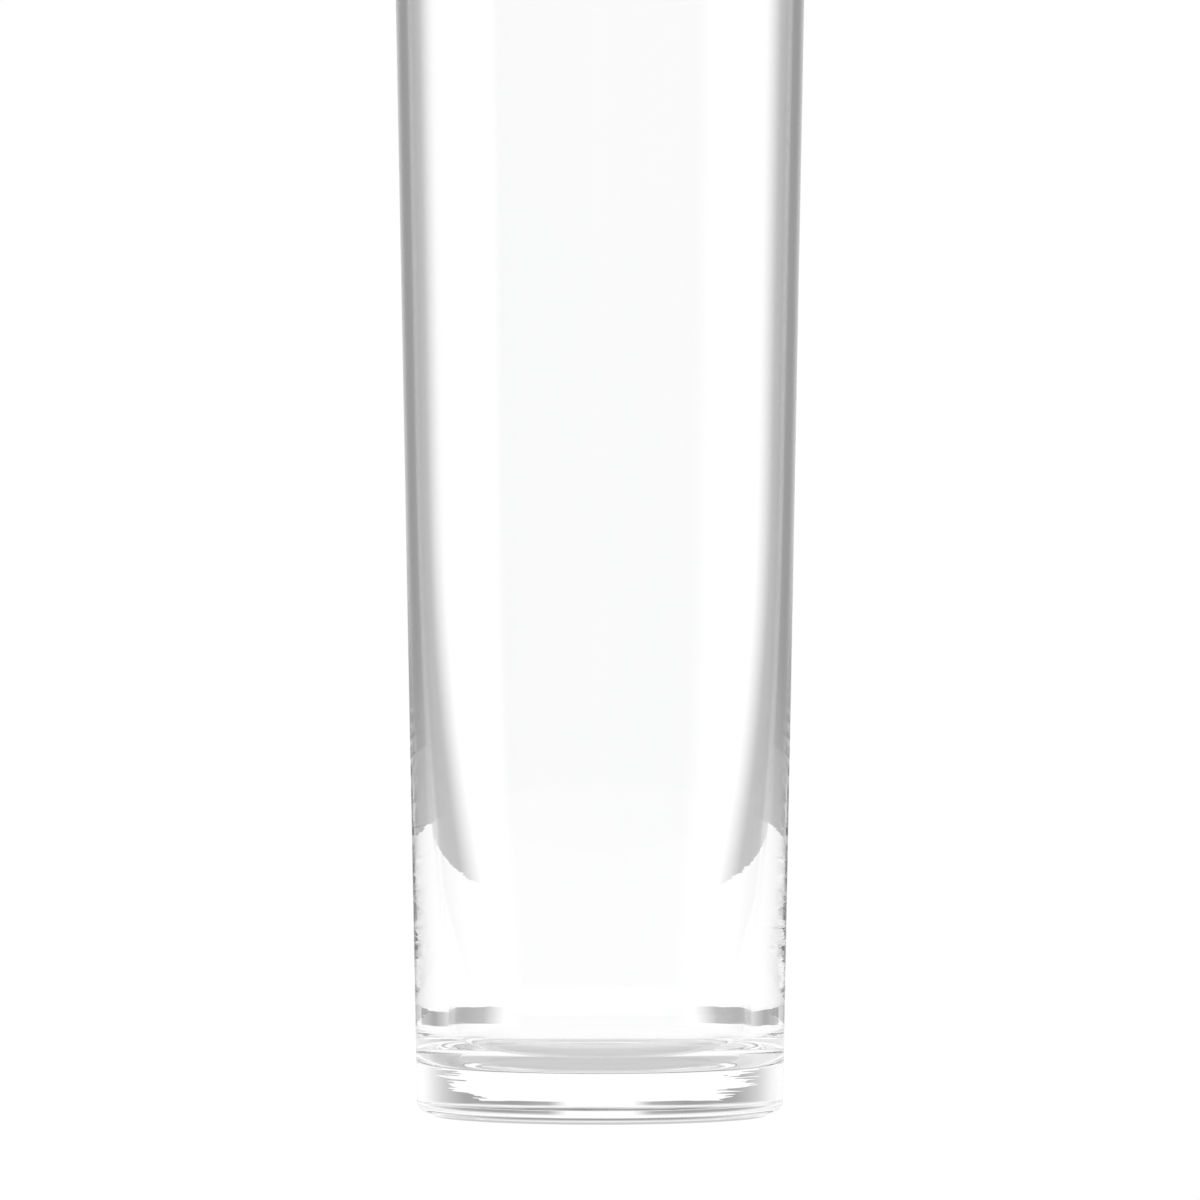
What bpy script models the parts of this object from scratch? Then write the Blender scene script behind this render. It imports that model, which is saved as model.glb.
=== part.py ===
"""Tall mixing glass: one piece of clear glass with a thick solid base.

Metres, +Z up. The glass is turned about the Z axis and stands on Z = 0, and the
origin is the middle of its resting face.
"""

from math import atan, cos, pi, sin

import bpy

# Driving dimensions, in metres. Heights are above the resting face.
HEIGHT = 0.190
BASE_DIAMETER = 0.0600  # where the line of the side meets the resting plane
RIM_DIAMETER = 0.0674  # where the line of the side meets the top plane
UPPER_WALL = 0.00184  # the same from the rim down to THICKENING_HEIGHT
THICKENING_HEIGHT = 0.109  # below it, the wall grows thicker down to the straight well
WELL_WALL = 0.00546  # wall at the top of the well, where the thickening ends
THICKENING_POWER = 2.55  # how late the wall does its thickening: 1 is a plain cone
WELL_RISE = 0.0038  # height of the well, which is straight, above the rounded corner
CORNER_RISE = 0.0071  # height of the rounded inside corner, between well and floor
CORNER_REACH = 0.0071  # its width: the same as its height makes it a quarter circle
FLOOR_HEIGHT = 0.0076  # solid glass under the edge of the cavity's floor
FLOOR_DISH = 0.0003  # how much lower the middle of the floor is
FOOT_RADIUS = 0.0021  # outside, between side and resting face

# Fineness of the turned surface
SEGMENTS = 96
FLOOR_POINTS = 4
WALL_POINTS = 12
ARC_POINTS = 7
AXIS_MERGE = 1e-6

GLASS_COLOR = (0.97, 0.985, 0.98, 1.0)
GLASS_ROUGHNESS = 0.0
GLASS_IOR = 1.52

SIDE_SLOPE = (RIM_DIAMETER - BASE_DIAMETER) / (2 * HEIGHT)
SIDE_LEAN = atan(SIDE_SLOPE)
WELL_FOOT = FLOOR_HEIGHT + CORNER_RISE
WELL_TOP = WELL_FOOT + WELL_RISE


def outer_radius(z):
    return BASE_DIAMETER / 2 + SIDE_SLOPE * z


def wall(z):
    """Thickness of the wall at height z above the well, measured level."""
    depth = max(THICKENING_HEIGHT - z, 0) / (THICKENING_HEIGHT - WELL_TOP)
    return UPPER_WALL + (WELL_WALL - UPPER_WALL) * depth**THICKENING_POWER


def arc(centre, reach, rise, first, last, points=ARC_POINTS):
    """Points of an elliptic arc in the XZ plane, between two of its angles, in radians."""
    turn = (last - first) / (points - 1)
    angles = [first + i * turn for i in range(points)]
    return [(centre[0] + reach * cos(a), centre[1] + rise * sin(a)) for a in angles]


def floor(edge):
    """The dished floor, from its middle to its edge at that radius."""
    radii = [edge * i / FLOOR_POINTS for i in range(FLOOR_POINTS)]
    return [(r, FLOOR_HEIGHT - FLOOR_DISH * (1 - (r / edge) ** 2)) for r in radii]


def profile():
    """Half outline: floor centre, up the inside, over the rim, down the outside, base centre."""
    well_radius = outer_radius(WELL_TOP) - WELL_WALL
    floor_edge = well_radius - CORNER_REACH
    corner = arc((floor_edge, WELL_FOOT), CORNER_REACH, CORNER_RISE, -pi / 2, 0)

    rise = (THICKENING_HEIGHT - WELL_TOP) / WALL_POINTS
    heights = [WELL_TOP + i * rise for i in range(WALL_POINTS + 1)]
    inside = [(outer_radius(z) - wall(z), z) for z in heights]

    rim_radius = UPPER_WALL * cos(SIDE_LEAN) / 2
    rim_centre_height = HEIGHT - rim_radius
    rim_centre = (outer_radius(rim_centre_height) - UPPER_WALL / 2, rim_centre_height)
    rim = arc(rim_centre, rim_radius, rim_radius, pi - SIDE_LEAN, -SIDE_LEAN)

    foot_centre = (outer_radius(FOOT_RADIUS) - FOOT_RADIUS / cos(SIDE_LEAN), FOOT_RADIUS)
    foot = arc(foot_centre, FOOT_RADIUS, FOOT_RADIUS, -SIDE_LEAN, -pi / 2)

    return [*floor(floor_edge), *corner, *inside, *rim, *foot, (0, 0)]


def clear_glass():
    material = bpy.data.materials.new("clear_glass")
    material.use_nodes = True
    shader = material.node_tree.nodes["Principled BSDF"]
    shader.inputs["Base Color"].default_value = GLASS_COLOR
    shader.inputs["Metallic"].default_value = 0.0
    shader.inputs["Roughness"].default_value = GLASS_ROUGHNESS
    shader.inputs["IOR"].default_value = GLASS_IOR
    shader.inputs["Transmission Weight"].default_value = 1.0
    return material


def turned(name, outline, material):
    """An object made by turning an outline of (radius, height) points about Z."""
    mesh = bpy.data.meshes.new(name)
    edges = [(i, i + 1) for i in range(len(outline) - 1)]
    mesh.from_pydata([(r, 0, z) for r, z in outline], edges, [])
    mesh.materials.append(material)
    piece = bpy.data.objects.new(name, mesh)
    bpy.context.scene.collection.objects.link(piece)
    turn = piece.modifiers.new("turn", "SCREW")
    turn.axis = "Z"
    turn.angle = 2 * pi
    turn.steps = SEGMENTS
    turn.render_steps = SEGMENTS
    turn.use_merge_vertices = True
    turn.merge_threshold = AXIS_MERGE
    turn.use_smooth_shade = True
    return piece


def main():
    for old in list(bpy.data.objects):
        bpy.data.objects.remove(old)
    turned("mixing_glass", profile(), clear_glass())


main()
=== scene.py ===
from math import atan, cos, pi, sin

import bpy
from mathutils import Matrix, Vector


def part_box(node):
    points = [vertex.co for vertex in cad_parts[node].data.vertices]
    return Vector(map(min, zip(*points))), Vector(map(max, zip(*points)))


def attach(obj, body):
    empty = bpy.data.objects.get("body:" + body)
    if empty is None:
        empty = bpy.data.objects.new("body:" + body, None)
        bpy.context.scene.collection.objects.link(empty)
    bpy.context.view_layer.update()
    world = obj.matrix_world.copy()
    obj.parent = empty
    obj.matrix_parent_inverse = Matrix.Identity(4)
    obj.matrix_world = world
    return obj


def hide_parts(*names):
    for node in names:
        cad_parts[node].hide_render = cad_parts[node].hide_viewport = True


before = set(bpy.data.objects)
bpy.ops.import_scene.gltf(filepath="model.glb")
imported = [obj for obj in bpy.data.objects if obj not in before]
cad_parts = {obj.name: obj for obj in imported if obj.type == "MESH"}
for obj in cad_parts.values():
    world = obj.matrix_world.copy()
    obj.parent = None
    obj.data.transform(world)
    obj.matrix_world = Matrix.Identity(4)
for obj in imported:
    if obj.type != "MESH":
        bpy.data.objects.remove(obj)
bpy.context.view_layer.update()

# The glass, in metres. Height, rim and resting plane come from the CAD frame.
GLASS = "mixing_glass"
BASE_DIAMETER = 0.0600
UPPER_WALL = 0.00184
THICKENING_HEIGHT = 0.109
WELL_WALL = 0.00546
THICKENING_POWER = 2.55
WELL_TOP = 0.0185
WELL_BLEND = 0.0015
SLOPE_STEP = 1e-6
CORNER_RISE = 0.0071
CORNER_REACH = 0.0071
FLOOR_HEIGHT = 0.0076
FLOOR_DISH = 0.0003
FOOT_RADIUS = 0.0021

SEGMENTS = 320
FLOOR_POINTS = 24
WALL_POINTS = 90
SIDE_POINTS = 40
ARC_POINTS = 20

CAMERA_DISTANCE = 1.48
CAMERA_HEIGHT = 0.0841
PICTURE_WIDTH = 0.1968
SENSOR_WIDTH = 36

GLASS_IOR = 1.52
CLEAREST = (1, 1, 1, 1)
DULLEST = (0.985, 0.99, 0.988, 1)
ROUGHEST = 0.006

# Waves in the surface: features a metre, how much longer or wider they are than that, and their height
SWELL = 45
SWELL_LENGTH = 3
SWELL_SHARE = 0.6
SWELL_RANGE = (0.3, 0.7)
RIPPLE = 420
RIPPLE_WIDTH = 12
RIPPLE_HEIGHT = 0.000012
RIPPLE_FROM, RIPPLE_TO = 0.060, 0.012

FLOOR_RADIUS = 0.3
FLOOR_GAP = 0.0004
BACKDROP = 1.02
FLOOR_LEVEL = 1.02
# Painted shadow under the glass: the table glows at this lower level inside the first SHADE_EDGE radius,
# back to full by the second
PAINTED_SHADOW_LEVEL = 0.6
SHADE_EDGE = (0.0262, 0.0276)
BRIGHTEST = 3
FULL_TURN = 360

# Light crosses the thick base many times
BOUNCES = 48

# The Map Range node's sockets, and where a Mix node keeps its two colours and their blend
RANGE_SOCKETS = ("From Min", "From Max", "To Min", "To Max")
MIX_COLOURS = (6, 7)
MIX_RESULT = 2

# Light as stops of (azimuth in degrees, level): 0 is behind the glass, 90 to its right, -90 to its left.
# At the glass's height: dim front, soft box, dark gap, backdrop, dark gap, soft box.
BESIDE = [
    (-180, 0.7), (-140, 0.65), (-119, 0.6), (-111, 1.1), (-90, 1.3), (-75, 1.1), (-60, 0.9),
    (-48, 0.6), (-36, 0.35), (-20, 0.3), (-11, 0.4), (-7, BACKDROP),
    (7, BACKDROP), (11, 0.4), (20, 0.3), (36, 0.35), (48, 0.6),
    (60, 0.9), (75, 1.2), (90, 1.5), (107, 1.5), (115, 0.7),
]
ABOVE_BACKDROP = [(-75, 0.8), (-60, 1.0), (60, 1.0), (75, 0.8)]
DIM_BAND = [
    (-90, 0.8), (-75, 0.7), (-60, 0.6), (-48, 0.5), (-36, 0.3), (-20, 0.2),
    (20, 0.2), (36, 0.3), (48, 0.4), (75, 0.4), (90, 0.5), (140, 0.5),
]
# The studio: the stops round each elevation, in degrees, lowest first
STUDIO = [
    (-20, [(-180, 0.8)]),
    (-7, BESIDE),
    (6, BESIDE),
    (12, ABOVE_BACKDROP),
    (28, DIM_BAND),
    (50, [(-180, 0.9)]),
    (70, [(-180, 0.5)]),
]

low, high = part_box(GLASS)
HEIGHT = high.z - low.z
RIM_RADIUS = (high.x - low.x) / 2
RIM_ROUND = UPPER_WALL / 2
SIDE_SLOPE = (RIM_RADIUS - BASE_DIAMETER / 2) / (HEIGHT - RIM_ROUND)
SIDE_LEAN = atan(SIDE_SLOPE)


def outer_radius(z):
    return BASE_DIAMETER / 2 + SIDE_SLOPE * z


def wall(z):
    depth = max(THICKENING_HEIGHT - z, 0) / (THICKENING_HEIGHT - WELL_TOP)
    return UPPER_WALL + (WELL_WALL - UPPER_WALL) * depth**THICKENING_POWER


def inner_radius(z):
    """Radius of the inside, which blends from the taper into the straight well."""
    if z > WELL_TOP + WELL_BLEND:
        return outer_radius(z) - wall(z)
    bend = WELL_TOP + WELL_BLEND
    slope = (inner_radius(bend + 2 * SLOPE_STEP) - inner_radius(bend + SLOPE_STEP)) / SLOPE_STEP
    spread = max(z - WELL_TOP + WELL_BLEND, 0)
    return outer_radius(bend) - wall(bend) - slope * (WELL_BLEND - spread**2 / (4 * WELL_BLEND))


def steps(first, last, count):
    """Even steps from first to last, leaving first out."""
    return [first + (last - first) * i / count for i in range(1, count + 1)]


def arc(centre, reach, rise, first, last):
    angles = [first, *steps(first, last, ARC_POINTS)]
    return [(centre[0] + reach * cos(a), centre[1] + rise * sin(a)) for a in angles]


def glass_outline():
    """Half outline: floor, inside of the wall, rim, outside, foot, underside."""
    corner_top = FLOOR_HEIGHT + CORNER_RISE
    edge = inner_radius(0) - CORNER_REACH
    floor = [
        (r, FLOOR_HEIGHT - FLOOR_DISH * (1 + cos(pi * r / edge)) / 2)
        for r in [0, *steps(0, edge, FLOOR_POINTS)][:-1]
    ]
    corner = arc((edge, corner_top), CORNER_REACH, CORNER_RISE, -pi / 2, 0)
    inside = [(inner_radius(z), z) for z in steps(corner_top, THICKENING_HEIGHT, WALL_POINTS)]
    rim_z = HEIGHT - RIM_ROUND
    inside += [(inner_radius(z), z) for z in steps(THICKENING_HEIGHT, rim_z, SIDE_POINTS)][:-1]
    rim = arc((outer_radius(rim_z) - RIM_ROUND, rim_z), RIM_ROUND, RIM_ROUND, pi, -SIDE_LEAN)
    side = [(outer_radius(z), z) for z in steps(rim_z, FOOT_RADIUS, SIDE_POINTS)][:-1]
    foot_x = outer_radius(FOOT_RADIUS) - FOOT_RADIUS / cos(SIDE_LEAN)
    foot = arc((foot_x, FOOT_RADIUS), FOOT_RADIUS, FOOT_RADIUS, -SIDE_LEAN, -pi / 2)
    underside = [(r, 0) for r in steps(foot_x, 0, FLOOR_POINTS)]
    return [*floor, *corner, *inside, *rim, *side, *foot, *underside]


def turned(name, outline, material):
    """A closed, smooth surface made by turning (radius, height) points about Z."""
    first, *rings, last = outline
    verts = [(0, 0, first[1]), (0, 0, last[1])]
    turns = [2 * pi * s / SEGMENTS for s in range(SEGMENTS)]
    verts += [(r * cos(a), r * sin(a), z) for r, z in rings for a in turns]

    def at(ring, segment):
        return 2 + ring * SEGMENTS + segment % SEGMENTS

    end = len(rings) - 1
    faces = [(0, at(0, s), at(0, s + 1)) for s in range(SEGMENTS)]
    for ring in range(end):
        faces += [
            (at(ring, s), at(ring + 1, s), at(ring + 1, s + 1), at(ring, s + 1))
            for s in range(SEGMENTS)
        ]
    faces += [(1, at(end, s + 1), at(end, s)) for s in range(SEGMENTS)]
    mesh = bpy.data.meshes.new(name)
    mesh.from_pydata(verts, [], faces)
    mesh.validate()
    mesh.shade_smooth()
    mesh.materials.append(material)
    piece = bpy.data.objects.new(name, mesh)
    bpy.context.scene.collection.objects.link(piece)
    return piece


def math_node(tree, operation, *values):
    node = tree.nodes.new("ShaderNodeMath")
    node.operation = operation
    for socket, value in zip(node.inputs, values):
        if isinstance(value, (int, float)):
            socket.default_value = value
        else:
            tree.links.new(value, socket)
    return node.outputs[0]


def between(tree, value, start, end, low_value=0.0, high_value=1.0):
    """A value between start and end, as a value from low_value to high_value."""
    node = tree.nodes.new("ShaderNodeMapRange")
    for name, number in zip(RANGE_SOCKETS, (start, end, low_value, high_value)):
        node.inputs[name].default_value = number
    tree.links.new(value, node.inputs["Value"])
    return node.outputs["Result"]


def blend(tree, share, first, second):
    """A colour between two, which are fixed colours or other nodes' colours."""
    node = tree.nodes.new("ShaderNodeMix")
    node.data_type = "RGBA"
    tree.links.new(share, node.inputs["Factor"])
    for number, colour in zip(MIX_COLOURS, (first, second)):
        if isinstance(colour, tuple):
            node.inputs[number].default_value = colour
        else:
            tree.links.new(colour, node.inputs[number])
    return node.outputs[MIX_RESULT]


def parts_of(tree, coordinates):
    """The chosen coordinates, whole and as their x, y and z."""
    coords = tree.nodes.new("ShaderNodeTexCoord").outputs[coordinates]
    parts = tree.nodes.new("ShaderNodeSeparateXYZ")
    tree.links.new(coords, parts.inputs[0])
    return coords, *parts.outputs


def noise(tree, coords, stretch, detail):
    """Noise with so many features a metre along x, y and z, from 0 to 1."""
    mapping = tree.nodes.new("ShaderNodeMapping")
    mapping.inputs["Scale"].default_value = stretch
    tree.links.new(coords, mapping.inputs["Vector"])
    node = tree.nodes.new("ShaderNodeTexNoise")
    node.inputs["Scale"].default_value = 1
    node.inputs["Detail"].default_value = detail
    tree.links.new(mapping.outputs[0], node.inputs["Vector"])
    return node.outputs["Fac"]


def clear_glass():
    """Smooth clear glass, with the faint waves of forming, which are closer near the base."""
    material = bpy.data.materials.new("clear_glass")
    material.use_nodes = True
    tree = material.node_tree
    shader = tree.nodes["Principled BSDF"]
    shader.inputs["IOR"].default_value = GLASS_IOR
    shader.inputs["Transmission Weight"].default_value = 1.0
    coords, _, _, z = parts_of(tree, "Object")
    swell = noise(tree, coords, (SWELL, SWELL, SWELL / SWELL_LENGTH), 1)
    ripple = noise(tree, coords, (RIPPLE / RIPPLE_WIDTH, RIPPLE / RIPPLE_WIDTH, RIPPLE), 3)
    near_base = between(tree, z, RIPPLE_FROM, RIPPLE_TO)
    ripple_height = math_node(tree, "MULTIPLY", ripple, near_base)
    height = math_node(tree, "MULTIPLY_ADD", swell, SWELL_SHARE, ripple_height)
    bump = tree.nodes.new("ShaderNodeBump")
    bump.inputs["Strength"].default_value = 1
    bump.inputs["Distance"].default_value = RIPPLE_HEIGHT
    tree.links.new(height, bump.inputs["Height"])
    tree.links.new(bump.outputs[0], shader.inputs["Normal"])
    rough = between(tree, swell, *SWELL_RANGE, 0.0, ROUGHEST)
    tree.links.new(rough, shader.inputs["Roughness"])
    tint = blend(tree, swell, CLEAREST, DULLEST)
    tree.links.new(tint, shader.inputs["Base Color"])
    return material


def ring(tree, turn, stops):
    """Light round one ring, joined by lines between its stops, with turn from 0 at -180 degrees to 1."""
    node = tree.nodes.new("ShaderNodeValToRGB")
    elements = node.color_ramp.elements
    closed = [*stops, (FULL_TURN / 2, stops[0][1])]
    for _ in closed[2:]:
        elements.new(0.5)
    for element, (azimuth, level) in zip(elements, closed):
        shade = level / BRIGHTEST
        element.position = (azimuth + FULL_TURN / 2) / FULL_TURN
        element.color = (shade, shade, shade, 1)
    tree.links.new(turn, node.inputs["Fac"])
    return node.outputs["Color"]


def studio():
    """A pale backdrop, dark gaps beside it, soft boxes at the sides: a ring of light per elevation."""
    world = bpy.data.worlds.new("studio")
    world.use_nodes = True
    tree = world.node_tree
    _, x, y, z = parts_of(tree, "Generated")
    azimuth = math_node(tree, "ARCTAN2", x, y)
    turn = math_node(tree, "MULTIPLY_ADD", azimuth, 1 / (2 * pi), 0.5)
    elevation = math_node(tree, "DEGREES", math_node(tree, "ARCSINE", z))
    (last, stops), *others = STUDIO
    light = ring(tree, turn, stops)
    for here, stops in others:
        light = blend(tree, between(tree, elevation, last, here), light, ring(tree, turn, stops))
        last = here
    background = tree.nodes["Background"]
    tree.links.new(light, background.inputs["Color"])
    background.inputs["Strength"].default_value = BRIGHTEST
    bpy.context.scene.world = world


def floor():
    """A pale round table that glows evenly like white acrylic lit from below, with a painted shadow under
    the glass where the glow is dimmer.
    """
    mesh = bpy.data.meshes.new("floor")
    sides = [2 * pi * s / SEGMENTS for s in range(SEGMENTS)]
    rim = [(FLOOR_RADIUS * cos(a), FLOOR_RADIUS * sin(a), 0) for a in sides]
    mesh.from_pydata(rim, [], [tuple(range(SEGMENTS))])
    table = bpy.data.objects.new("floor", mesh)
    table.location.z = low.z - FLOOR_GAP
    bpy.context.scene.collection.objects.link(table)
    material = bpy.data.materials.new("floor")
    material.use_nodes = True
    tree = material.node_tree
    _, x, y, _ = parts_of(tree, "Object")
    square = math_node(tree, "MULTIPLY_ADD", x, x, math_node(tree, "MULTIPLY", y, y))
    distance = math_node(tree, "SQRT", square)
    glow = tree.nodes.new("ShaderNodeEmission")
    # Painted shadow: the glow dims to a lower level under the glass
    tree.links.new(between(tree, distance, *SHADE_EDGE, PAINTED_SHADOW_LEVEL, FLOOR_LEVEL), glow.inputs["Strength"])
    tree.links.new(glow.outputs[0], tree.nodes["Material Output"].inputs["Surface"])
    mesh.materials.append(material)


def camera():
    """A level camera in front, at the height of the middle of the picture."""
    data = bpy.data.cameras.new("camera")
    data.sensor_width = SENSOR_WIDTH
    data.lens = data.sensor_width * CAMERA_DISTANCE / PICTURE_WIDTH
    cam = bpy.data.objects.new("camera", data)
    cam.location = (0, -CAMERA_DISTANCE, CAMERA_HEIGHT)
    cam.rotation_euler = (pi / 2, 0, 0)
    bpy.context.scene.collection.objects.link(cam)
    bpy.context.scene.camera = cam


glass = turned("glass_body", glass_outline(), clear_glass())
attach(glass, "root")
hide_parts(GLASS)
floor()
studio()
camera()
bpy.context.scene.view_settings.view_transform = "Standard"
for kind in ("max_bounces", "transmission_bounces", "glossy_bounces"):
    setattr(bpy.context.scene.cycles, kind, BOUNCES)
